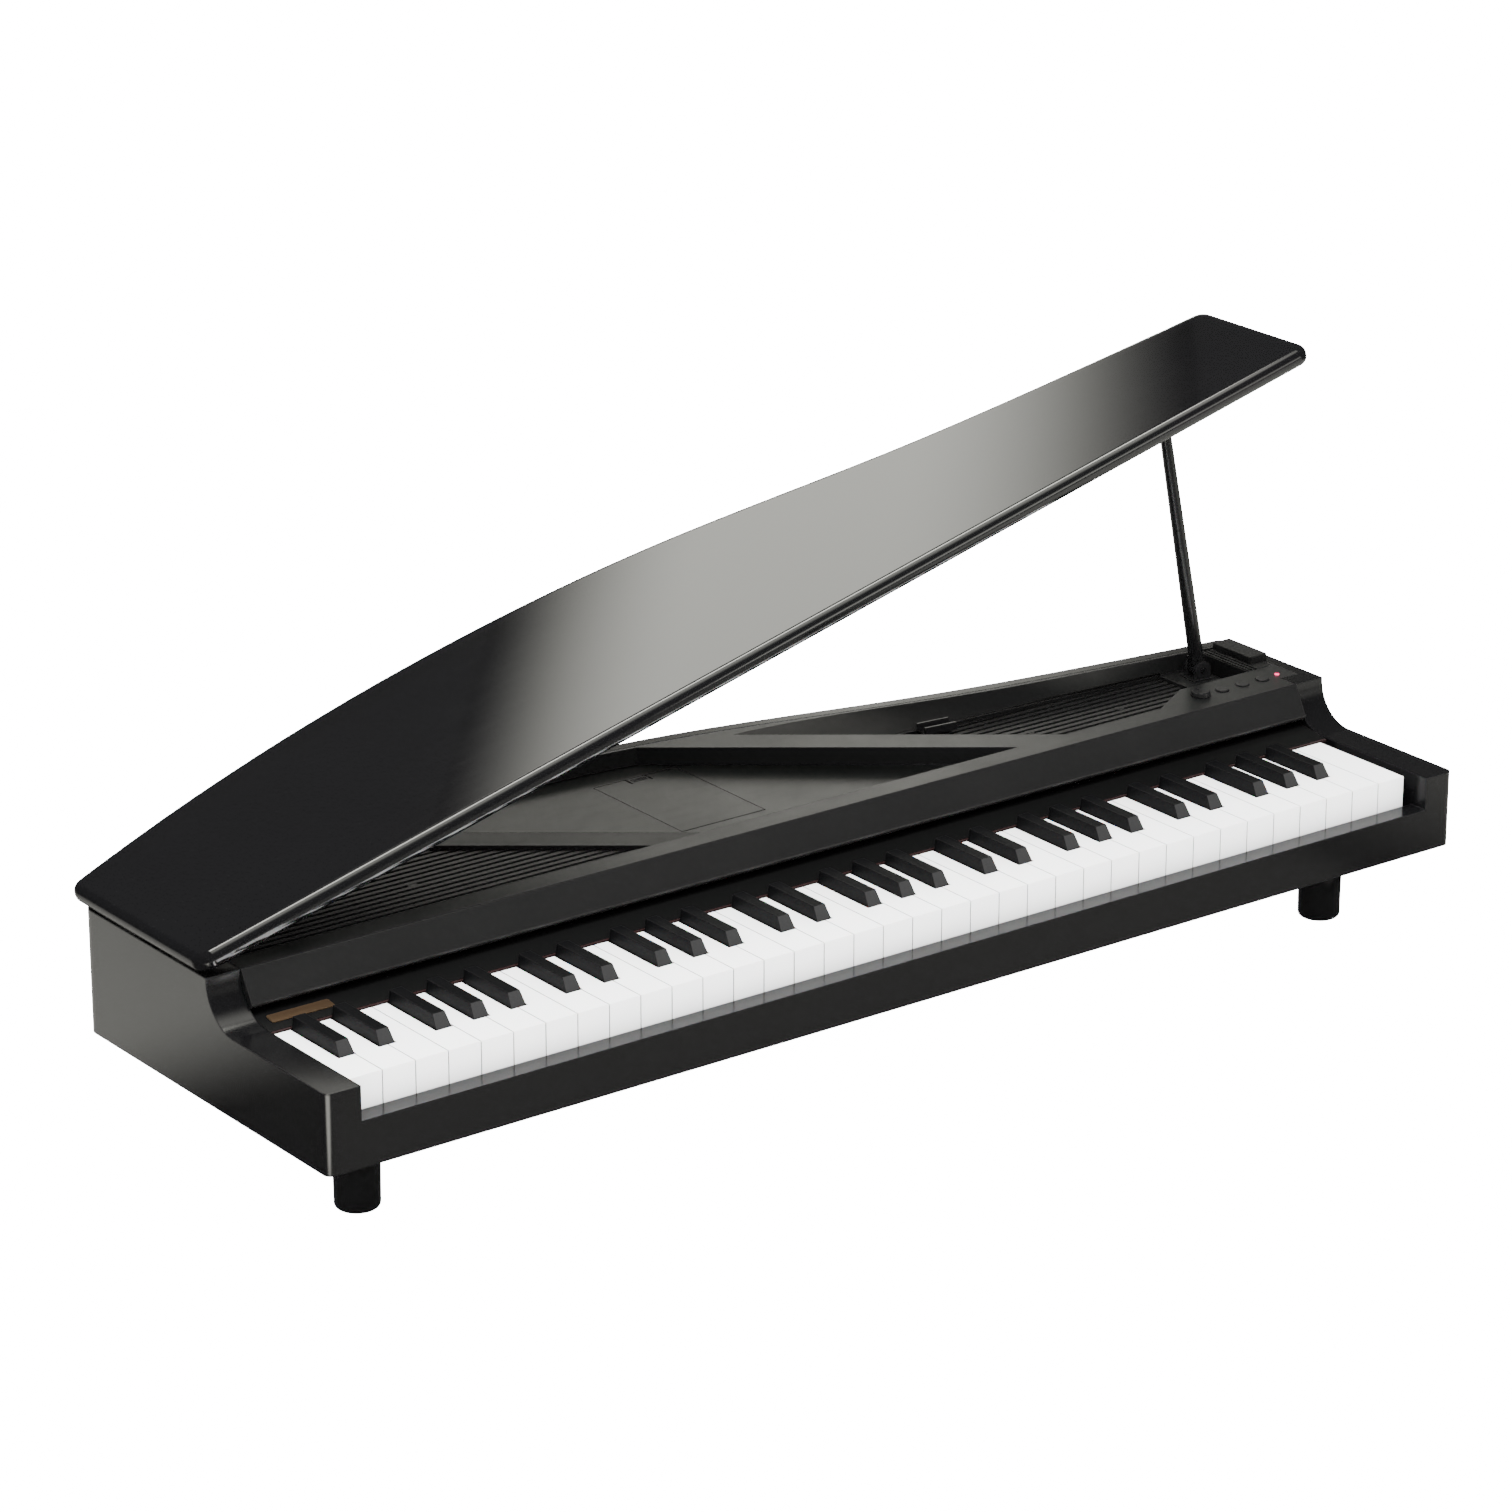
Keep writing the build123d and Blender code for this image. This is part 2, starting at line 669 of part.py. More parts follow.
def all_keys():
    """Keys grouped by note name: every C, every C sharp, and so on."""
    groups = {}
    for index in range(WHITE_KEYS):
        groups.setdefault("keys_" + WHITE_NAMES[index % 7], []).append(white_key(index))
    for name, joint, offset in BLACK_KEYS:
        groups["keys_" + name] = [black_key(octave, joint, offset) for octave in range(5)]
    return groups


def key_middles():
    """Middles of all the levers."""
    whites = [white_tail(index) for index in range(WHITE_KEYS)]
    blacks = [black_x(o, joint, offset) for o in range(5) for _, joint, offset in BLACK_KEYS]
    return whites + blacks


def key_chassis():
    """Tray under the keys: stop rail, contact board ledges and pivot uprights."""
    x1 = INNER_X - 0.8
    tray = box(-x1, x1, 16, 158, CHASSIS_Z, CHASSIS_TOP)
    tray += box(-x1, x1, 24, 30, CHASSIS_TOP, 23.5)
    for y in (97.0, 121.0):
        tray += box(-x1, x1, y, y + 2, CHASSIS_TOP, CONTACT_Z)
    uprights = [KEYS_X0 + OCTAVE * k for k in range(6)]
    for x in uprights + [KEYS_X0 + WHITE_KEYS * PITCH + 1.4]:
        tray += box(x - 0.9, x + 0.9, 144, 156, CHASSIS_TOP, 43)
    tray -= rod_x(PIVOT_Y, PIVOT_Z, PIVOT_R + 0.02, -FAR / 2, FAR / 2)
    for x, y in CHASSIS_SCREWS:
        tray -= rod_z(x, y, SCREW_R + 0.05, 0, 20)
    return tray


def key_stop_felt():
    return box(-INNER_X + 1, INNER_X - 1, 24.2, 29.8, 23.5, 25.8)


def key_pivot_rod():
    return rod_x(PIVOT_Y, PIVOT_Z, PIVOT_R, -369.4, 367.5)


def chassis_screws():
    shapes = []
    for x, y in CHASSIS_SCREWS:
        head = rod_z(x, y, 3.0, CHASSIS_TOP, CHASSIS_TOP + 1.6)
        shapes.append(head + rod_z(x, y, SCREW_R, 1.4, CHASSIS_TOP + 1))
    return shapes


def key_contact_board():
    return box(-368, 364, 95, 125, CONTACT_Z, CONTACT_Z + BOARD_T)


def contact_domes():
    """Rubber strip with one dome under each key."""
    z0 = CONTACT_Z + BOARD_T
    strip = box(-366, 362, DOME_Y - 6, DOME_Y + 6, z0, z0 + 0.8)
    domes = [cone_z(x, DOME_Y, 4.0, 2.6, z0 + 0.4, 33.4) for x in key_middles()]
    return strip + domes


def name_strip():
    """Thin ledge between the keys and the fallboard."""
    top = [(87.6, 43.6), (87.6, 45.6), (107, 48.4), (118, 48.4)]
    under = [(118, 46.8), (107, 46.8), (89.4, 44.2), (89.4, 43.6)]
    return prism_x(top + under, -PANEL_X, PANEL_X)


def blank_plate():
    """Small metal plate on the ledge, without lettering."""
    plate = box(-364, -325.5, -3.9, 3.9, 0, 0.6)
    plate = fillet([e for e in plate.edges().filter_by(Axis.Z)], 1.2)
    tilt = degrees(atan(2.8 / 19.4))
    return Pos(0, 98, 48.4 - 9 * 2.8 / 19.4 + 0.05) * Rot(tilt, 0, 0) * plate


def felt_strip():
    return box(-PANEL_X + 0.5, PANEL_X - 0.5, 85.5, 87.4, 43.9, 45.4)


# ---- controls -------------------------------------------------------------------------
SHAFT_R = 3.0
SHAFT_TOP = TOP_H + 2.2
KNOB_R = 6.0
KNOB_H = 2.8
BUTTON_R = 4.0
BUTTON_H = 0.8
BUTTON_FLANGE = 1.0
LED_R = 1.7
PANEL_BOARD_Z = 60.4


def volume_knob():
    """Knurled knob with a pointer groove."""
    z0 = TOP_H + 0.4
    knob = cone_z(KNOB_X, CONTROL_Y, KNOB_R, KNOB_R - 0.5, z0, z0 + KNOB_H)
    knob = fillet(knob.edges().sort_by(Axis.Z)[-1], 0.8)
    for step in range(24):
        a = radians(step * 15.0)
        x = KNOB_X + (KNOB_R + 0.15) * cos(a)
        y = CONTROL_Y + (KNOB_R + 0.15) * sin(a)
        knob -= rod_z(x, y, 0.45, z0 - 1, z0 + KNOB_H - 0.9)
    y = CONTROL_Y
    knob -= box(KNOB_X - 0.4, KNOB_X + 0.4, y + 1.5, y + KNOB_R, z0 + KNOB_H - 0.4, FAR)
    return knob - rod_z(KNOB_X, y, SHAFT_R + 0.02, z0 - 1, SHAFT_TOP + 0.05)


def volume_shaft():
    return rod_z(KNOB_X, CONTROL_Y, SHAFT_R, PANEL_BOARD_Z + BOARD_T + 5.2, SHAFT_TOP)


def button(x):
    """Low domed push button with a flange that keeps it behind the panel."""
    cap = rod_z(x, CONTROL_Y, BUTTON_R, TOP_H - 5.0, TOP_H + BUTTON_H)
    cap = fillet(cap.edges().sort_by(Axis.Z)[-1], 0.6)
    return cap + rod_z(x, CONTROL_Y, BUTTON_R + BUTTON_FLANGE, TOP_H - 5.0, TOP_H - 3.3)


def status_led():
    y = CONTROL_Y + 1.5
    lens = rod_z(LED_X, y, LED_R, PANEL_BOARD_Z + BOARD_T, TOP_H + 0.9)
    return fillet(lens.edges().sort_by(Axis.Z)[-1], 0.8)


def panel_board():
    """Board under the control desk, with the volume control's body and the button switches."""
    z0 = PANEL_BOARD_Z
    z1 = z0 + BOARD_T
    y = CONTROL_Y
    board = box(304, 377, 126.5, 139.5, z0, z1)
    board += box(KNOB_X - 5, KNOB_X + 5, y - 6, y + 6, z1, z1 + 5.0)
    for _, x in BUTTONS:
        board += box(x - 3, x + 3, y - 3, y + 3, z1, TOP_H - 6.2)
    return board


# ---- batteries ------------------------------------------------------------------------
CELL_R = 7.1
CELL_PITCH = 14.35
TRAY_Z0 = 43.6


def battery_cover():
    """Flat door flush with the deck: a round front edge with two pins, a finger latch behind."""
    x0, x1, _, y1 = BATTERY
    left = x0 + DOOR_GAP
    right = x1 - DOOR_GAP
    door = box(left, right, DOOR_AXIS[0], y1 - DOOR_GAP, DECK_H - DOOR_T, DECK_H)
    door += rod_x(*DOOR_AXIS, DOOR_T / 2, left, right)
    door += rod_x(*DOOR_AXIS, DOOR_PIN_R, x0 - DOOR_PIN_L, x1 + DOOR_PIN_L)
    middle = (x0 + x1) / 2
    for side in (-7.5, 6.5):
        door -= box(middle + side, middle + side + 1, y1 - 8, y1, 0, FAR)
    for k in range(3):
        y = y1 - 2.6 - 1.6 * k
        door -= box(middle - 5, middle + 5, y - 0.4, y + 0.4, DECK_H - 0.5, FAR)
    return door


def battery_tray():
    """Open box under the door."""
    x0, x1, y0, y1 = BATTERY
    top = DECK_H - GRILLE_T - FIT
    tray = box(x0 - 1.6, x1 + 1.6, y0 - 1.6, y1 + 1.6, TRAY_Z0, top)
    return tray - box(x0, x1, y0, y1, TRAY_Z0 + 1.2, top + 1)


def battery_cells():
    x0, x1, y0, _ = BATTERY
    middle = (x0 + x1) / 2
    z = TRAY_Z0 + 1.25 + CELL_R
    shapes = []
    for k in range(6):
        y = y0 + 7.6 + CELL_PITCH * k
        end = 1 if k % 2 else -1
        cell = rod_x(y, z, CELL_R, middle - 24.6, middle + 24.6)
        shapes.append(cell + rod_x(y, z, 2.6, middle, middle + end * 25.6))
    return shapes


def battery_contacts():
    x0, x1, y0, _ = BATTERY
    z = TRAY_Z0 + 1.25 + CELL_R
    shapes = []
    for k in range(6):
        y = y0 + 7.6 + CELL_PITCH * k
        for x in (x0 + 0.05, x1 - 0.55):
            shapes.append(box(x, x + 0.5, y - 5, y + 5, z - 5, z + 5))
    return shapes


# ---- boards, sockets and wires --------------------------------------------------------
BOARD_Z = 12.0
BOARD = (-240.0, -150.0, 175.0, 240.0)
BOARD_POSTS = [(x, y) for x in (-234.0, -156.0) for y in (181.0, 234.0)]
JACK_Z = 30.0
# Sockets in the back wall: x, bore radius, collar radius.
JACKS = ((-60.0, 1.8, 4.2), (-30.0, 2.9, 4.8))
JACK_BOARD_Z = 22.4
JACK_POSTS = ((-62.0, 254.0), (-28.0, 254.0))
WIRE_R = 1.1


def main_board():
    """Circuit board with its larger parts."""
    x0, x1, y0, y1 = BOARD
    z1 = BOARD_Z + BOARD_T
    board = box(x0, x1, y0, y1, BOARD_Z, z1)
    board += box(x0 + 30, x0 + 46, y0 + 22, y0 + 38, z1, z1 + 1.6)
    board += box(x0 + 56, x0 + 76, y0 + 24, y0 + 32, z1, z1 + 2.4)
    board += box(x0 + 6, x0 + 14, y0 + 12, y0 + 40, z1, z1 + 6)
    for k in range(3):
        board += rod_z(x0 + 58 + 10 * k, y0 + 50, 3.6, z1, z1 + 9)
    return board


def socket_board():
    z0 = JACK_BOARD_Z
    return box(-70, -20, 250, 262, z0, z0 + BOARD_T)


def socket(x, bore_r, collar_r, depth):
    """Panel socket: square body on its board, and a round collar through the wall."""
    z0 = JACK_BOARD_Z + BOARD_T
    body = box(x - 5.5, x + 5.5, 251, 266, z0, z0 + 11.0)
    body += rod_y(x, JACK_Z, collar_r, 265, socket_face(x))
    return body - rod_y(x, JACK_Z, bore_r, socket_face(x) - depth, 300)


def socket_face(x):
    """How far back a socket's collar reaches: just proud of the wall."""
    return back_y(x) + 0.5


def headphone_socket():
    x, bore_r, collar_r = JACKS[0]
    return socket(x, bore_r, collar_r, 15.0)


def power_socket():
    x, bore_r, collar_r = JACKS[1]
    return socket(x, bore_r, collar_r, 11.0) + rod_y(x, JACK_Z, 0.8, 260, socket_face(x) - 2)


def wire(points):
    """Round wire through a few points."""
    path = Spline(*points)
    start = Plane(origin=path @ 0, z_dir=path % 0)
    return sweep(start * Circle(WIRE_R), path)


def wires():
    """Leads from the main board to the speakers, sockets, batteries and control desk."""
    x0, x1, y0, y1 = BOARD
    left, right = SPEAKERS
    magnet_z = SPEAKER_TOP - 31.5
    desk_turn = (332, 168, 47)
    desk_end = (340, 143, 57)
    return [
        wire([(x0 + 20, y1 - 8, 18), (x0 + 5, y1 - 12, 26), (left[0], left[1], magnet_z)]),
        wire([(x1 - 4, y0 + 8, 16), (20, 190, 20), (right[0], right[1], magnet_z)]),
        wire([(x1 - 4, y0 + 14, 16), (-100, 246, 30), (-72, 256, 31)]),
        wire([(x1 - 4, y0 + 4, 16), (-90, 172, 30), (-58, 172, 50)]),
        wire([(x1 - 4, y0 + 1, 16), (60, 174, 14), (240, 174, 15), (312, 174, 30), desk_turn, desk_end]),
    ]


# ---- lid and its hinge ----------------------------------------------------------------
def lid_body(z0, z1, inset=0.0):
    """The lid's outline, closed, between two heights."""
    left = -HALF - LID_X0 - inset
    right = LID_X0 + LID_L - HALF - inset
    face = plan(left, right, LID_BACK - inset, -LID_FRONT_Y - inset)
    block = Pos(0, 0, z0) * extrude(face, z1 - z0)
    return fillet(upright_edges(block, z0, z1), 9.0 - inset)


def lid():
    """Glossy lid with rounded edges, hollow and ribbed underneath."""
    top = LID_Z0 + LID_T
    roof = top - LID_SKIN
    shell = lid_body(LID_Z0, top)
    shell = fillet(shell.faces().sort_by(Axis.Z)[-1].edges(), 5.0)
    shell = fillet(shell.faces().sort_by(Axis.Z)[0].edges(), 4.5)
    hollow = lid_body(LID_Z0 - 1, roof, LID_LIP)
    ribs = [box(-FAR, FAR, 186 + k, 188 + k, LID_Z0 + 2, roof + 1) for k in (-44, 12)]
    ribs += [box(x - 1, x + 1, 0, FAR, LID_Z0 + 2, roof + 1) for x in range(-290, 300, 115)]
    ribs += [rod_z(*seat_place(), SEAT_R + 2, LID_Z0 + 2, roof + 1)]
    hollow -= Part() + ribs
    hollow += rod_z(*seat_place(), SEAT_R + 0.1, LID_Z0, LID_Z0 + SEAT_DROP + 2)
    for y in HINGE_Y0:
        hollow += box(HINGE_X - 2, HINGE_X + 20, y + 7.5, y + 18.5, LID_Z0 - 1, roof)
    return open_lid(shell - hollow)


def knuckle(y0, y1):
    """One barrel of a hinge."""
    barrel = rod_y(HINGE_X, HINGE_Z, HINGE_R, y0, y1)
    return barrel - rod_y(HINGE_X, HINGE_Z, HINGE_PIN_R + 0.05, y0 - 1, y1 + 1)


def hinge_bases():
    """Fixed halves, upright against the left wall."""
    shapes = []
    x0 = HINGE_X - 1.9
    x1 = HINGE_X + 1.6
    for y0 in HINGE_Y0:
        base = box(x0, x1, y0, y0 + 26, TOP_H - 22, TOP_H - 3.6)
        for y in (y0, y0 + 18):
            base += knuckle(y, y + 8) + box(x0, x1, y, y + 8, TOP_H - 4, TOP_H - 1.3)
            base -= rod_y(HINGE_X, HINGE_Z, HINGE_PIN_R + 0.05, y - 1, y + 9)
        shapes.append(base)
    return shapes


def hinge_leaves():
    """Moving halves, turned up into the lid."""
    roof = LID_Z0 + LID_T - LID_SKIN
    shapes = []
    for y0 in HINGE_Y0:
        leaf = knuckle(y0 + 8.3, y0 + 17.7)
        leaf += box(HINGE_X - 1.2, HINGE_X + 1.2, y0 + 8.3, y0 + 17.7, HINGE_Z + 1.5, roof - 0.05)
        leaf += box(HINGE_X - 1.2, HINGE_X + 19, y0 + 8.3, y0 + 17.7, roof - 1.6, roof - 0.05)
        shapes.append(open_lid(leaf))
    return shapes


def hinge_pins():
    return [rod_y(HINGE_X, HINGE_Z, HINGE_PIN_R, y + 0.3, y + 25.7) for y in HINGE_Y0]


# ---- lid stick ------------------------------------------------------------------------
def prop_place():
    """Frame at the stick's pivot: X along the folded stick, Y along the pivot pin."""
    return Pos(PROP_X, PROP_Y, PROP_Z) * Rot(0, 0, -PROP_YAW)


def stick_length():
    """From the pivot to the middle of the rounded tip, to stop just short of the seat."""
    _, pivot_z = closed_point(PROP_X, PROP_Z)
    reach = LID_Z0 + SEAT_DROP - pivot_z - PROP_TIP_R - PROP_GAP
    lean = radians(PROP_LEAN)
    tilt = radians(LID_OPEN)
    along = sin(lean) * cos(radians(PROP_YAW)) * sin(tilt) + cos(lean) * cos(tilt)
    return reach / along


def seat_place():
    """Where the stick's tip meets the closed lid, as x and y."""
    run = stick_length() * sin(radians(PROP_LEAN))
    x = PROP_X - run * cos(radians(PROP_YAW))
    y = PROP_Y + run * sin(radians(PROP_YAW))
    z = PROP_Z + stick_length() * cos(radians(PROP_LEAN))
    return closed_point(x, z)[0], y


def prop_stick():
    """Tapered stick with a flat eye at its foot and a round tip."""
    length = stick_length()
    stick = cone_z(0, 0, PROP_BASE_R - 0.4, PROP_TIP_R, 7, length)
    stick += Pos(0, 0, length) * Sphere(PROP_TIP_R)
    eye = rod_y(0, 0, PROP_BASE_R, -3.2, 3.2)
    stick += eye + box(-4.4, 4.4, -3.2, 3.2, 0, 9)
    stick -= rod_y(0, 0, PROP_PIN_R + 0.05, -9, 9)
    return prop_place() * Rot(0, -PROP_LEAN, 0) * stick


def prop_bracket():
    """Two ears on a foot."""
    foot = DECK_H - PROP_Z
    shape = box(-8, 8, -7.5, 7.5, foot + 0.05, foot + 0.8)
    for side in (-1, 1):
        ys = sorted((side * 3.5, side * 6.0))
        shape += box(-5.5, 5.5, *ys, foot + 0.05, 1) + rod_y(0, 0, 5.5, *ys)
    shape -= rod_y(0, 0, PROP_PIN_R + 0.02, -9, 9)
    shape &= box(-9, 9, -9, 9, foot + 0.05, 9)
    return prop_place() * shape


def prop_pin():
    return prop_place() * rod_y(0, 0, PROP_PIN_R, -6.6, 6.6)


def prop_clip():
    """Low open clip that holds the folded stick near its tip."""
    half = PROP_TIP_R + 0.55
    foot = DECK_H - PROP_Z
    shape = box(-CLIP_L, CLIP_L, -half - 1.4, half + 1.4, foot + 0.05, foot + 1.0)
    for side in (-1, 1):
        ys = sorted((side * half, side * (half + 1.4)))
        shape += box(-CLIP_L, CLIP_L, *ys, foot + 0.05, foot + CLIP_H)
    return prop_place() * Pos(-CLIP_T, 0, 0) * shape


def prop_seat():
    """Rubber seat in the lid, with a raised lip on the treble side only."""
    x, y = seat_place()
    face = LID_Z0 + SEAT_DROP
    seat = rod_z(x, y, SEAT_R, face, face + 2)
    lip = rod_z(x, y, 8.0, face - 1.3, face) - rod_z(x, y, 4.6, face - 2, face + 1)
    seat += lip & box(x + 1, x + 20, y - 20, y + 20, 0, FAR)
    return open_lid(seat)


def lid_rest():
    """Raised bar at the back right corner, on a mat with ridges beside it."""
    x0 = PAD_X + 26
    y0, y1 = DESK_BACK_Y + 0.25, 192.5
    mat = box(x0, HALF - RECESS_INSET - FIT, y0, y1, DECK_H + 0.05, TOP_H)
    for k in range(3):
        x = x0 + 0.6 + 3.0 * k
        mat -= box(x, x + 1.5, y0 - 1, y1 + 1, TOP_H - 1.2, TOP_H + 1)
    bar = box(REST_X, REST_X + REST_W, y1 - REST_L, y1, TOP_H + 0.1, TOP_H + REST_H)
    bar = fillet(bar.edges().filter_by(Axis.Z), 1.5)
    bar = fillet(bar.faces().sort_by(Axis.Z)[-1].edges(), 0.8)
    neck = box(REST_X + 1, HALF - RECESS_INSET - FIT, y1 - REST_L + 2, y1, TOP_H - 1, TOP_H + 1)
    return mat + bar + neck


# ---- write ----------------------------------------------------------------------------
def pieces():
    """Every node's name and its solid or list of solids."""
    found = {
        "case_shell": case_shell(),
        "bottom_cover": bottom_cover(),
        "housing_screws": case_screws() + chassis_screws(),
        "legs": legs(),
        "leg_studs": leg_studs(),
        "leg_nuts": leg_nuts(),
        "foot_pads": foot_pads(),
        "top_panel": top_panel(),
        "grille_left": grille_left(),
        "grille_right": grille_right(),
        "speaker_baskets": speaker_baskets(),
        "speaker_cones": speaker_cones(),
        "speaker_magnets": speaker_magnets(),
        "speaker_screws": speaker_screws(),
        "key_chassis": key_chassis(),
        "key_stop_felt": key_stop_felt(),
        "key_pivot_rod": key_pivot_rod(),
        "key_contact_board": key_contact_board(),
        "contact_domes": contact_domes(),
        "name_strip": name_strip(),
        "blank_plate": blank_plate(),
        "felt_strip": felt_strip(),
        "volume_knob": volume_knob(),
        "volume_shaft": volume_shaft(),
        "status_led": status_led(),
        "panel_board": panel_board(),
        "battery_cover": battery_cover(),
        "battery_tray": battery_tray(),
        "battery_cells": battery_cells(),
        "battery_contacts": battery_contacts(),
        "main_board": main_board(),
        "socket_board": socket_board(),
        "headphone_socket": headphone_socket(),
        "power_socket": power_socket(),
        "wires": wires(),
        "lid": lid(),
        "hinge_bases": hinge_bases(),
        "hinge_leaves": hinge_leaves(),
        "hinge_pins": hinge_pins(),
        "prop_stick": prop_stick(),
        "prop_bracket": prop_bracket(),
        "prop_pin": prop_pin(),
        "prop_clip": prop_clip(),
        "prop_seat": prop_seat(),
        "lid_rest": lid_rest(),
    }
    for name, x in BUTTONS:
        found[name] = button(x)
    found.update(all_keys())
    return found


def solids_of(shape):
    """The separate solids of a piece, or of a list of pieces."""
    if isinstance(shape, list):
        return [solid for piece in shape for solid in piece.solids()]
    return shape.solids()


def main():
    os.makedirs("parts", exist_ok=True)
    to_origin = Pos(0, -ORIGIN_Y, LEG_H)
    for name, shape in pieces().items():
        moved = Compound(children=[to_origin * solid for solid in solids_of(shape)])
        export_step(moved, f"parts/{name}.step")


main()
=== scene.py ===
"""Looks of the tabletop grand-shaped digital piano: materials, studio and camera."""
import json

import bpy
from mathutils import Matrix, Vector


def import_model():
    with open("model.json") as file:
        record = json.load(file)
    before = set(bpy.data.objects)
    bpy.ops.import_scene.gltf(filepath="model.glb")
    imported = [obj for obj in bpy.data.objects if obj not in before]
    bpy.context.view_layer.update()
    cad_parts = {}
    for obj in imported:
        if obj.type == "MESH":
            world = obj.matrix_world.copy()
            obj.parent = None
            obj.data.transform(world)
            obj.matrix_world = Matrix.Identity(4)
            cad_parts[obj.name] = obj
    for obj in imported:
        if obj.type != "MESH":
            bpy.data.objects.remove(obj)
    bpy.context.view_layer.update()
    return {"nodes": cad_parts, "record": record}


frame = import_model()
nodes = frame["nodes"]
scene = bpy.context.scene

MM = 0.001
ORIGIN_Y = 0.143  # case frame to object frame
LEG_H = 0.051  # the case's underside above the floor
KEY_WELL = 0.3712  # half the width of the opening for the keys


def at(x, y, z):
    """A point given in millimetres in the case's frame, as the object's frame has it."""
    return Vector((x * MM, y * MM - ORIGIN_Y, z * MM + LEG_H))


# ---- node helpers ---------------------------------------------------------------------
class Tree:
    """Short hand for building a material's node tree."""

    def __init__(self, name):
        self.material = bpy.data.materials.new(name)
        self.material.use_nodes = True
        self.nodes = self.material.node_tree.nodes
        self.links = self.material.node_tree.links
        self.nodes.clear()
        self.out = self.nodes.new("ShaderNodeOutputMaterial")
        self.coords = self.nodes.new("ShaderNodeTexCoord").outputs["Object"]

    def link(self, source, socket):
        """Joins a node's output, or sets a plain value."""
        if hasattr(source, "is_output"):
            self.links.new(source, socket)
        else:
            socket.default_value = source

    def math(self, kind, a, b=0.0):
        node = self.nodes.new("ShaderNodeMath")
        node.operation = kind
        self.link(a, node.inputs[0])
        self.link(b, node.inputs[1])
        return node.outputs[0]

    def noise(self, scale, detail=3.0, stretch=(1, 1, 1), roughness=0.5):
        """Cloudy noise from 0 to 1, fixed to the piece."""
        place = self.nodes.new("ShaderNodeMapping")
        place.inputs["Scale"].default_value = stretch
        self.link(self.coords, place.inputs["Vector"])
        node = self.nodes.new("ShaderNodeTexNoise")
        self.link(place.outputs[0], node.inputs["Vector"])
        node.inputs["Scale"].default_value = scale
        node.inputs["Detail"].default_value = detail
        node.inputs["Roughness"].default_value = roughness
        return node.outputs["Fac"]

    def spread(self, value, low, high, start=0.3, end=0.7):
        """Maps a value to a range."""
        node = self.nodes.new("ShaderNodeMapRange")
        self.link(value, node.inputs["Value"])
        node.inputs["From Min"].default_value = start
        node.inputs["From Max"].default_value = end
        self.link(low, node.inputs["To Min"])
        self.link(high, node.inputs["To Max"])
        return node.outputs["Result"]

    def colours(self, value, dark, light):
        """Mixes two plain colours."""
        return self.blend(value, (*dark, 1.0), (*light, 1.0))

    def blend(self, value, a, b):
        """Mixes two colours with alpha, or colour outputs."""
        node = self.nodes.new("ShaderNodeMix")
        node.data_type = "RGBA"
        self.link(value, node.inputs["Factor"])
        self.link(a, node.inputs["A"])
        self.link(b, node.inputs["B"])
        return node.outputs["Result"]

    def round_edges(self, radius):
        """A normal that rounds the piece's sharp edges."""
        node = self.nodes.new("ShaderNodeBevel")
        node.samples = 4
        node.inputs["Radius"].default_value = radius
        return node.outputs["Normal"]

    def edge_mask(self, radius):
        """Near 1 along sharp edges, 0 on flat faces."""
        return self.spread(self.along_normal(self.round_edges(radius)), 1.0, 0.0, 0.85, 0.995)

    def painted_gap_shade(self, distance):
        """Near 1 deep in narrow gaps, 0 in the open; used to paint shade into the gaps."""
        node = self.nodes.new("ShaderNodeAmbientOcclusion")
        node.samples = 4
        node.inputs["Distance"].default_value = distance
        return self.spread(node.outputs["AO"], 1.0, 0.0, 0.05, 0.45)

    def facing(self, direction, start, end):
        """0 to 1 as a face turns towards a direction."""
        return self.spread(self.along_normal(direction), 0.0, 1.0, start, end)

    def along_normal(self, direction):
        """How far a direction agrees with the face's own normal."""
        dot = self.nodes.new("ShaderNodeVectorMath")
        dot.operation = "DOT_PRODUCT"
        self.link(self.nodes.new("ShaderNodeNewGeometry").outputs["Normal"], dot.inputs[0])
        self.link(direction, dot.inputs[1])
        return dot.outputs["Value"]

    def within(self, half_width):
        """1 near the middle of the piece, 0 beyond a distance to either side."""
        split = self.nodes.new("ShaderNodeSeparateXYZ")
        self.link(self.coords, split.inputs[0])
        return self.math("LESS_THAN", self.math("ABSOLUTE", split.outputs["X"], 0.0), half_width)

    def bump(self, height, strength, distance, normal=None):
        """A normal roughened by a height, on top of another normal if given."""
        node = self.nodes.new("ShaderNodeBump")
        node.inputs["Strength"].default_value = strength
        node.inputs["Distance"].default_value = distance
        self.link(height, node.inputs["Height"])
        if normal is not None:
            self.link(normal, node.inputs["Normal"])
        return node.outputs["Normal"]

    def surface(self, colour, roughness, normal=None, **more):
        """The main shader. Extra inputs are given by name, with spaces as underscores."""
        shader = self.nodes.new("ShaderNodeBsdfPrincipled")
        self.link(colour if hasattr(colour, "is_output") else (*colour, 1.0), shader.inputs["Base Color"])
        self.link(roughness, shader.inputs["Roughness"])
        if normal is not None:
            self.link(normal, shader.inputs["Normal"])
        for name, value in more.items():
            self.link(value, shader.inputs[name.replace("_", " ")])
        self.links.new(shader.outputs[0], self.out.inputs["Surface"])
        return self.material


# ---- materials ------------------------------------------------------------------------
def lid_side(t):
    """The lid's faces towards its hinge side, duller than its top."""
    return t.facing((-1.0, 0.0, 0.0), 0.3, 0.7)


def key_well(t):
    """The case's faces around the keys, except its front."""
    return t.math("MULTIPLY", t.within(KEY_WELL), t.facing((0.0, -1.0, 0.0), 0.8, 0.3))


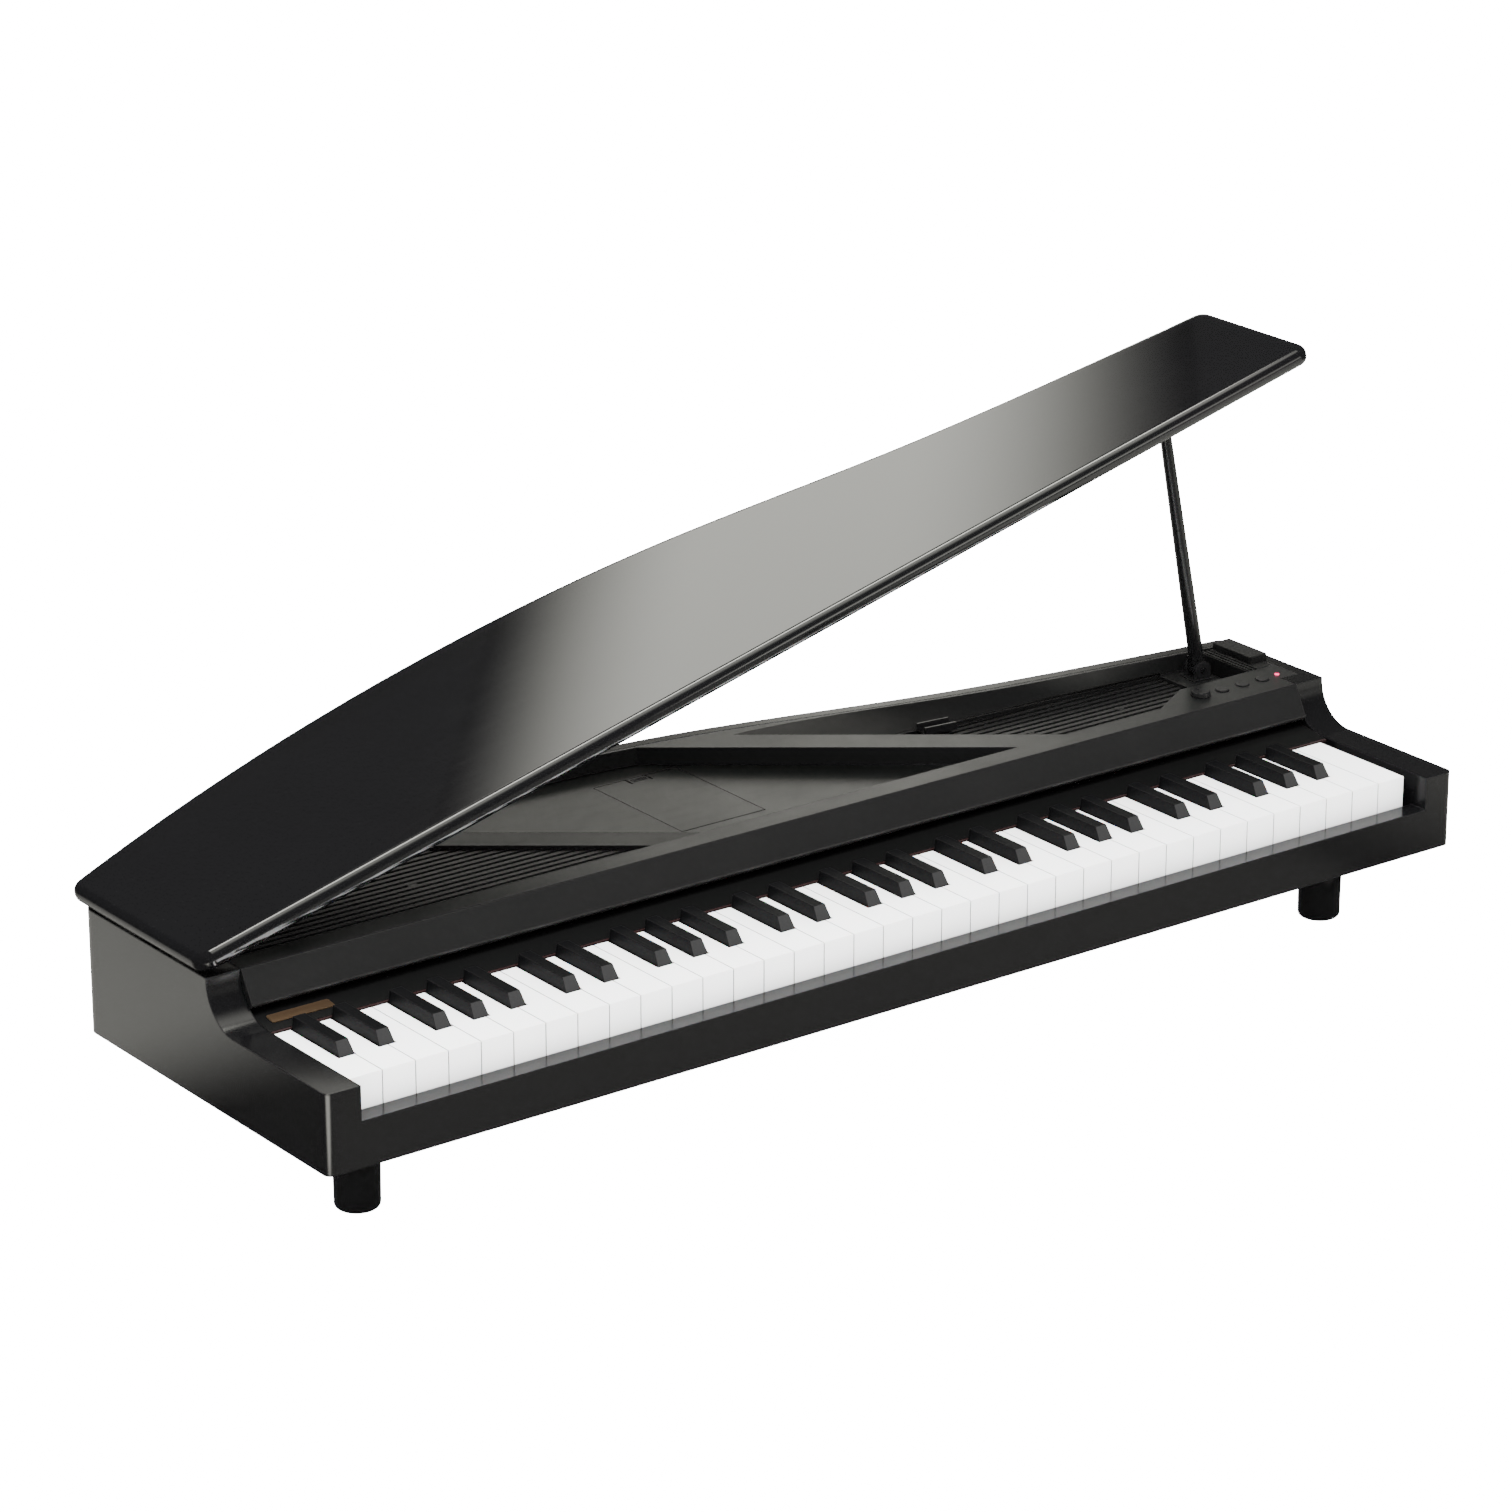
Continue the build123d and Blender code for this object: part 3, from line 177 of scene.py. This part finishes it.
def gloss_black(name, base_rough=0.055, coat=0.6, edge_radius=0.0011, dull=None):
    """Polished black moulding: clear, slightly wavy reflections, faint wiping marks and dust."""
    t = Tree(name)
    worn = dull(t) if dull else 0.0
    edge = t.edge_mask(edge_radius)
    cloud = t.noise(9.0, 4.0)
    wipes = t.noise(60.0, 6.0, (0.4, 2.5, 1.0), 0.65)
    specks = t.noise(2600.0, 1.0)
    dust = t.spread(specks, 0.0, 0.012, 0.72, 0.8)
    rough = t.spread(cloud, base_rough, base_rough * 1.3)
    rough = t.math("ADD", rough, t.spread(wipes, 0.0, 0.02, 0.45, 0.75))
    rough = t.math("ADD", rough, dust)
    rough = t.math("ADD", rough, t.math("MULTIPLY", edge, 0.08))
    colour = t.colours(cloud, (0.0022, 0.0022, 0.0024), (0.0030, 0.0030, 0.0032))
    colour = t.blend(t.math("MULTIPLY", edge, 0.35), colour, (0.010, 0.010, 0.011, 1.0))
    normal = t.bump(t.noise(18.0, 1.0), 0.05, 0.0003, t.round_edges(edge_radius))
    shine = t.spread(worn, 0.5, 0.13)
    lacquer = t.spread(worn, coat, 0.0)
    return t.surface(
        colour, rough, normal, IOR=1.5, Specular_IOR_Level=shine, Coat_Weight=lacquer, Coat_Roughness=0.03
    )


def satin_black(name, tone, rough, grain=3200.0, depth=0.00006, radius=0.0006, ior=1.5):
    """Moulded black plastic with a fine grain, worn a little shinier along its edges."""
    t = Tree(name)
    edge = t.edge_mask(radius * 1.5)
    cloud = t.noise(14.0, 4.0)
    fine = t.noise(grain, 2.0)
    smear = t.noise(90.0, 5.0, (0.5, 2.0, 1.0), 0.6)
    value = t.math("ADD", t.spread(cloud, rough - 0.03, rough + 0.03), t.spread(smear, 0.0, 0.04, 0.5, 0.8))
    value = t.math("SUBTRACT", value, t.math("MULTIPLY", edge, 0.10))
    colour = t.colours(cloud, [c * 0.85 for c in tone], [c * 1.15 for c in tone])
    lighter = (*[c * 2.2 + 0.004 for c in tone], 1.0)
    colour = t.blend(t.math("MULTIPLY", edge, 0.5), colour, lighter)
    normal = t.bump(fine, 0.35, depth, t.round_edges(radius))
    return t.surface(colour, value, normal, IOR=ior)


def white_keys():
    """Glossy ivory-white plastic, a touch duller where fingers land, with shade painted into the gaps
    between keys.
    """
    t = Tree("white_keys")
    edge = t.edge_mask(0.0008)
    cloud = t.noise(30.0, 3.0)
    touch = t.noise(45.0, 5.0, (1.0, 0.5, 1.0), 0.6)
    colour = t.colours(cloud, (0.84, 0.84, 0.835), (0.89, 0.89, 0.885))
    colour = t.blend(t.math("MULTIPLY", edge, 0.25), colour, (0.70, 0.69, 0.67, 1.0))
    # Painted shade: the colour turns near black deep in the gaps between keys, where shade falls.
    colour = t.blend(t.painted_gap_shade(0.002), colour, (0.03, 0.03, 0.03, 1.0))
    rough = t.math("ADD", t.spread(touch, 0.13, 0.24), t.math("MULTIPLY", edge, 0.05))
    normal = t.bump(t.noise(700.0, 2.0), 0.05, 0.0001, t.round_edges(0.0005))
    return t.surface(colour, rough, normal, IOR=1.5, Subsurface_Weight=0.08, Subsurface_Scale=0.002)


def black_keys():
    """Satin black key tops with a faint lengthways grain, and front faces painted lighter."""
    t = Tree("black_keys")
    edge = t.edge_mask(0.0008)
    grain = t.noise(900.0, 3.0, (1.0, 0.08, 1.0), 0.6)
    cloud = t.noise(35.0, 3.0)
    colour = t.colours(cloud, (0.0022, 0.0022, 0.0024), (0.0032, 0.0032, 0.0034))
    colour = t.blend(t.math("MULTIPLY", edge, 0.4), colour, (0.016, 0.016, 0.017, 1.0))
    # Painted light: faces turned to the front get a lighter colour, standing in for the light they catch.
    colour = t.blend(t.facing((0.0, -1.0, 0.0), 0.4, 0.7), colour, (0.015, 0.015, 0.015, 1.0))
    rough = t.math("SUBTRACT", t.spread(grain, 0.36, 0.48), t.math("MULTIPLY", edge, 0.06))
    normal = t.bump(grain, 0.10, 0.00008, t.round_edges(0.0007))
    return t.surface(colour, rough, normal, IOR=1.12)


def gold_plate():
    """Dull gold metal, brushed along its length and tarnished in places."""
    t = Tree("plate")
    edge = t.edge_mask(0.0004)
    brush = t.noise(700.0, 4.0, (0.03, 1.0, 1.0), 0.6)
    tarnish = t.noise(160.0, 4.0)
    colour = t.colours(brush, (0.085, 0.052, 0.030), (0.15, 0.098, 0.056))
    colour = t.blend(t.spread(tarnish, 0.0, 0.5, 0.5, 0.75), colour, (0.10, 0.065, 0.04, 1.0))
    colour = t.blend(t.math("MULTIPLY", edge, 0.5), colour, (0.40, 0.29, 0.17, 1.0))
    rough = t.math("ADD", t.spread(brush, 0.30, 0.42), t.spread(tarnish, 0.0, 0.12))
    normal = t.bump(brush, 0.12, 0.00006, t.round_edges(0.0003))
    return t.surface(colour, rough, normal, Metallic=0.85)


def steel(name, tone=(0.55, 0.56, 0.58)):
    """Plated steel with fine turning marks."""
    t = Tree(name)
    edge = t.edge_mask(0.0004)
    marks = t.noise(1500.0, 3.0, (0.1, 1.0, 1.0))
    stain = t.noise(120.0, 4.0)
    colour = t.colours(stain, [c * 0.8 for c in tone], tone)
    colour = t.blend(t.math("MULTIPLY", edge, 0.4), colour, (0.8, 0.8, 0.82, 1.0))
    rough = t.math("ADD", t.spread(marks, 0.22, 0.34), t.spread(stain, 0.0, 0.12))
    normal = t.bump(marks, 0.1, 0.00005, t.round_edges(0.0002))
    return t.surface(colour, rough, normal, Metallic=1.0)


def felt(name, tone):
    """Pressed wool with stray fibres."""
    t = Tree(name)
    fibres = t.noise(2600.0, 5.0, (1.0, 1.0, 1.0), 0.75)
    patch = t.noise(260.0, 3.0)
    colour = t.colours(fibres, [c * 0.5 for c in tone], [min(1.0, c * 1.5) for c in tone])
    colour = t.blend(t.spread(patch, 0.0, 0.25), colour, (*[c * 0.6 for c in tone], 1.0))
    normal = t.bump(fibres, 0.8, 0.0003)
    rough = t.spread(fibres, 0.86, 0.98)
    return t.surface(colour, rough, normal, Sheen_Weight=0.05, Sheen_Roughness=0.4)


def rubber(name, tone=(0.012, 0.012, 0.012)):
    """Dull rubber with a fine mottle."""
    t = Tree(name)
    edge = t.edge_mask(0.0006)
    mottle = t.noise(500.0, 4.0)
    colour = t.colours(mottle, [c * 0.7 for c in tone], [c * 1.4 for c in tone])
    colour = t.blend(t.math("MULTIPLY", edge, 0.4), colour, (*[c * 3 for c in tone], 1.0))
    normal = t.bump(mottle, 0.25, 0.0001, t.round_edges(0.0004))
    return t.surface(colour, t.spread(mottle, 0.55, 0.75), normal)


def led_lens():
    """Glowing red lens, hotter in the middle."""
    t = Tree("led")
    layer = t.nodes.new("ShaderNodeLayerWeight")
    layer.inputs["Blend"].default_value = 0.45
    rim = t.spread(layer.outputs["Facing"], 0.0, 1.0, 0.25, 0.6)
    glow = t.colours(rim, (0.9, 0.08, 0.20), (0.20, 0.0, 0.03))
    strength = t.spread(layer.outputs["Facing"], 0.9, 0.2, 0.25, 0.7)
    swirl = t.spread(t.noise(900.0, 2.0), 0.10, 0.22)
    return t.surface(glow, swirl, None, Emission_Color=glow, Emission_Strength=strength)


def circuit_board():
    """Green lacquered board with darker tracks."""
    t = Tree("board")
    tracks = t.noise(220.0, 1.0, (1.0, 0.3, 1.0))
    mask = t.spread(tracks, 0.0, 1.0, 0.48, 0.52)
    colour = t.colours(mask, (0.006, 0.05, 0.02), (0.012, 0.10, 0.04))
    normal = t.bump(mask, 0.3, 0.00008)
    return t.surface(colour, t.spread(t.noise(60.0), 0.25, 0.4), normal)


SLOT_MATERIALS = {
    "gloss_shell": gloss_black("gloss_shell"),
    "satin_panel": satin_black("satin_panel", (0.0060, 0.0060, 0.0060), 0.33),
    "grille": satin_black("grille", (0.0055, 0.0055, 0.0055), 0.40, radius=0.0003),
    "hidden_plastic": satin_black("hidden_plastic", (0.016, 0.016, 0.017), 0.50, grain=1800.0),
    "white_keys": white_keys(),
    "black_keys": black_keys(),
    "plate": gold_plate(),
    "felt": felt("felt", (0.009, 0.0008, 0.001)),
    "rubber": rubber("rubber"),
    "steel": steel("steel"),
    "stick": satin_black("stick", (0.0040, 0.0040, 0.0042), 0.20, radius=0.0004),
    "controls": satin_black("controls", (0.0060, 0.0060, 0.0062), 0.32, radius=0.0003),
    "led": led_lens(),
    "board": circuit_board(),
    "cell": steel("cell", (0.25, 0.27, 0.30)),
    "cone": felt("cone", (0.03, 0.03, 0.03)),
    "magnet": steel("magnet", (0.25, 0.25, 0.26)),
    "wire": rubber("wire", (0.20, 0.02, 0.02)),
}


def finish(obj, name):
    """Gives a piece the finish of a material slot."""
    obj.data.materials.clear()
    obj.data.materials.append(SLOT_MATERIALS[name])


for subpart in frame["record"]["subparts"]:
    finish(nodes[subpart["node"]], subpart["material_slot"])
# The case is less polished than the lid, and the ledge behind the keys is dead matt.
SPECIAL = {
    "lid": gloss_black("lid", dull=lid_side),
    "case_shell": gloss_black("case_shell", 0.17, 0.0, 0.0012, key_well),
    "name_strip": satin_black("name_strip", (0.0030, 0.0030, 0.0030), 0.55, radius=0.0003, ior=1.22),
    "lid_rest": rubber("lid_rest", (0.0035, 0.0035, 0.0035)),
}
for piece, material in SPECIAL.items():
    nodes[piece].data.materials.clear()
    nodes[piece].data.materials.append(material)


# ---- studio ---------------------------------------------------------------------------
SOFT_LIGHT = 3.2  # the surroundings as soft light
DARK_ROOM = 0.05  # the surroundings as reflections show them
PAPER_WHITE = 16.0  # the surroundings and floor as the camera sees them


def world():
    """White to the camera and to soft light, dark to reflections."""
    scene.world = bpy.data.worlds.new("studio")
    scene.world.use_nodes = True
    tree = scene.world.node_tree
    tree.nodes.clear()
    out = tree.nodes.new("ShaderNodeOutputWorld")
    path = tree.nodes.new("ShaderNodeLightPath")
    shade = background(tree, SOFT_LIGHT)
    for ray, strength in (("Is Glossy Ray", DARK_ROOM), ("Is Camera Ray", PAPER_WHITE)):
        mix = tree.nodes.new("ShaderNodeMixShader")
        tree.links.new(path.outputs[ray], mix.inputs[0])
        tree.links.new(shade, mix.inputs[1])
        tree.links.new(background(tree, strength), mix.inputs[2])
        shade = mix.outputs[0]
    tree.links.new(shade, out.inputs["Surface"])


def background(tree, strength):
    node = tree.nodes.new("ShaderNodeBackground")
    node.inputs["Color"].default_value = (1.0, 1.0, 1.0, 1.0)
    node.inputs["Strength"].default_value = strength
    return node.outputs[0]


def area_light(name, location, target, size, power):
    """Soft lamp that is not itself seen, not even in reflections."""
    data = bpy.data.lights.new(name, "AREA")
    data.shape = "RECTANGLE"
    data.size, data.size_y = size
    data.energy = power
    light = bpy.data.objects.new(name, data)
    scene.collection.objects.link(light)
    light.location = location
    light.rotation_euler = (Vector(target) - Vector(location)).to_track_quat("-Z", "Y").to_euler()
    light.visible_glossy = False
    light.visible_camera = False


def card(name, corners, strength, fade=(0.2, 0.2, 0.2, 0.2)):
    """Softbox seen only in reflections. Its light fades in from the left, right, bottom and top."""
    steps = 24
    mesh = bpy.data.meshes.new(name)
    bl, br, tr, tl = [Vector(c) for c in corners]
    points, us, vs = [], [], []
    for j in range(steps + 1):
        for i in range(steps + 1):
            u, v = i / steps, j / steps
            points.append(bl.lerp(br, u).lerp(tl.lerp(tr, u), v))
            us.append(u)
            vs.append(v)
    row = steps + 1
    faces = [(k, k + 1, k + row + 1, k + row) for j in range(steps) for k in range(j * row, j * row + steps)]
    mesh.from_pydata(points, [], faces)
    for key, values in (("u", us), ("v", vs)):
        mesh.attributes.new(key, "FLOAT", "POINT").data.foreach_set("value", values)
    obj = bpy.data.objects.new(name, mesh)
    scene.collection.objects.link(obj)
    t = Tree(name)
    u = t.nodes.new("ShaderNodeAttribute")
    u.attribute_name = "u"
    v = t.nodes.new("ShaderNodeAttribute")
    v.attribute_name = "v"
    left = smooth(t, u.outputs["Fac"], 0.0, fade[0])
    right = smooth(t, u.outputs["Fac"], 1.0, 1.0 - fade[1])
    bottom = smooth(t, v.outputs["Fac"], 0.0, fade[2])
    top = smooth(t, v.outputs["Fac"], 1.0, 1.0 - fade[3])
    light = t.nodes.new("ShaderNodeEmission")
    power = t.math("MULTIPLY", t.math("MULTIPLY", left, right), t.math("MULTIPLY", bottom, top))
    t.link(t.math("MULTIPLY", power, strength), light.inputs["Strength"])
    light.inputs["Color"].default_value = (1.0, 0.995, 0.915, 1.0)
    t.links.new(light.outputs[0], t.out.inputs["Surface"])
    mesh.materials.append(t.material)
    obj.visible_camera = False
    obj.visible_diffuse = False
    obj.visible_shadow = False
    obj.visible_transmission = False


def upright(y, x0, x1, z0, z1):
    """Corners of a standing card: bottom left, bottom right, top right, top left."""
    return [at(x0, y, z0), at(x1, y, z0), at(x1, y, z1), at(x0, y, z1)]


def level(z, x0, x1, y0, y1):
    """Corners of a lying card, its near side first."""
    return [at(x0, y0, z), at(x1, y0, z), at(x1, y1, z), at(x0, y1, z)]


def smooth(t, value, start, end):
    """0 at start to 1 at end, eased at both ends."""
    node = t.nodes.new("ShaderNodeMapRange")
    node.interpolation_type = "SMOOTHSTEP"
    t.link(value, node.inputs["Value"])
    node.inputs["From Min"].default_value = min(start, end)
    node.inputs["From Max"].default_value = max(start, end)
    node.inputs["To Min"].default_value = 0.0 if start < end else 1.0
    node.inputs["To Max"].default_value = 1.0 if start < end else 0.0
    return node.outputs["Result"]


def floor():
    """Plain pale floor, white to the camera."""
    mesh = bpy.data.meshes.new("floor")
    side = 14.0
    corners = [(-side, -side, 0), (side, -side, 0), (side, side, 0), (-side, side, 0)]
    mesh.from_pydata(corners, [], [(0, 1, 2, 3)])
    obj = bpy.data.objects.new("floor", mesh)
    scene.collection.objects.link(obj)
    t = Tree("floor")
    paper = t.noise(300.0, 3.0)
    colour = t.colours(paper, (0.93, 0.93, 0.93), (0.95, 0.95, 0.95))
    seen = t.nodes.new("ShaderNodeLightPath").outputs["Is Camera Ray"]
    glow = t.math("MULTIPLY", seen, PAPER_WHITE)
    rough = t.spread(paper, 0.75, 0.85)
    normal = t.bump(paper, 0.05, 0.0002)
    white = (1.0, 1.0, 1.0, 1.0)
    mesh.materials.append(t.surface(colour, rough, normal, Emission_Color=white, Emission_Strength=glow))
    obj.visible_glossy = False


def camera():
    """Long lens from above the bass end."""
    data = bpy.data.cameras.new("camera")
    data.lens = 129.8
    data.sensor_width = 36.0
    data.clip_start = 0.1
    data.clip_end = 60.0
    obj = bpy.data.objects.new("camera", data)
    scene.collection.objects.link(obj)
    obj.location = (-1.7333, -2.2974, 1.2183)
    obj.rotation_euler = Vector((0.5621, 0.7504, -0.3477)).to_track_quat("-Z", "Y").to_euler()
    scene.camera = obj


world()
floor()
camera()
area_light("overhead", (-0.3, -0.3, 2.4), (0.0, 0.0, 0.0), (2.2, 1.6), 210.0)
area_light("front", (-1.6, -2.4, 1.7), (0.0, 0.0, 0.1), (1.4, 1.0), 60.0)
BACK_Y = 2500.0  # softboxes behind and before the piano, in the case's millimetres
FRONT_Y = -2500.0
TOP_Z = 2600.0
FLOOR_Z = -50.0  # cards lying 1 mm above the floor

# Behind: what the lid's top shows, then what the deck and the strip in front of it show.
card(
    "lid_softbox",
    [at(1512, BACK_Y, 1050), at(2078, BACK_Y, 1050), at(1616, BACK_Y, 2300), at(34, BACK_Y, 2300)],
    3.05,
    (0.34, 0.38, 0.1, 0.1),
)
card("deck_softbox", upright(BACK_Y, 1590, 2560, 650, 1560), 4.0, (0.30, 0.72, 0.3, 0.3))
# Above: the bright line along the lid's front edge, and the softer light below that line.
card("edge_softbox", level(TOP_Z, -200, 1300, 500, 1700), 13.0, (0.1, 0.1, 0.5, 0.3))
card("top_softbox", level(TOP_Z + 50, -200, 1300, -1700, 1100), 2.6, (0.1, 0.1, 0.7, 0.1))
# In front: the fallboard and the curve of the arms.
card("front_softbox", upright(FRONT_Y, 1250, 2900, -40, 1150), 3.0, (0.04, 0.75, 0.01, 0.7))
# On the floor: the case's front, its front left corner and its left side.
card("front_floor", level(FLOOR_Z, -700, 1500, -1500, -2), 0.33, (0.1, 0.1, 0.4, 0.02))
card("corner_floor", level(FLOOR_Z + 2, -680, -430, -260, -30), 8.0)
card("side_floor", level(FLOOR_Z + 1, -612, -392, 190, 1400), 1.35, (0.08, 0.01, 0.12, 0.3))
# On the floor behind and to the right, for views from there.
card("back_floor", level(FLOOR_Z + 1, -340, 1700, 330, 1900), 0.9)
card("right_floor", level(FLOOR_Z + 1, 400, 1500, -900, 320), 0.9)
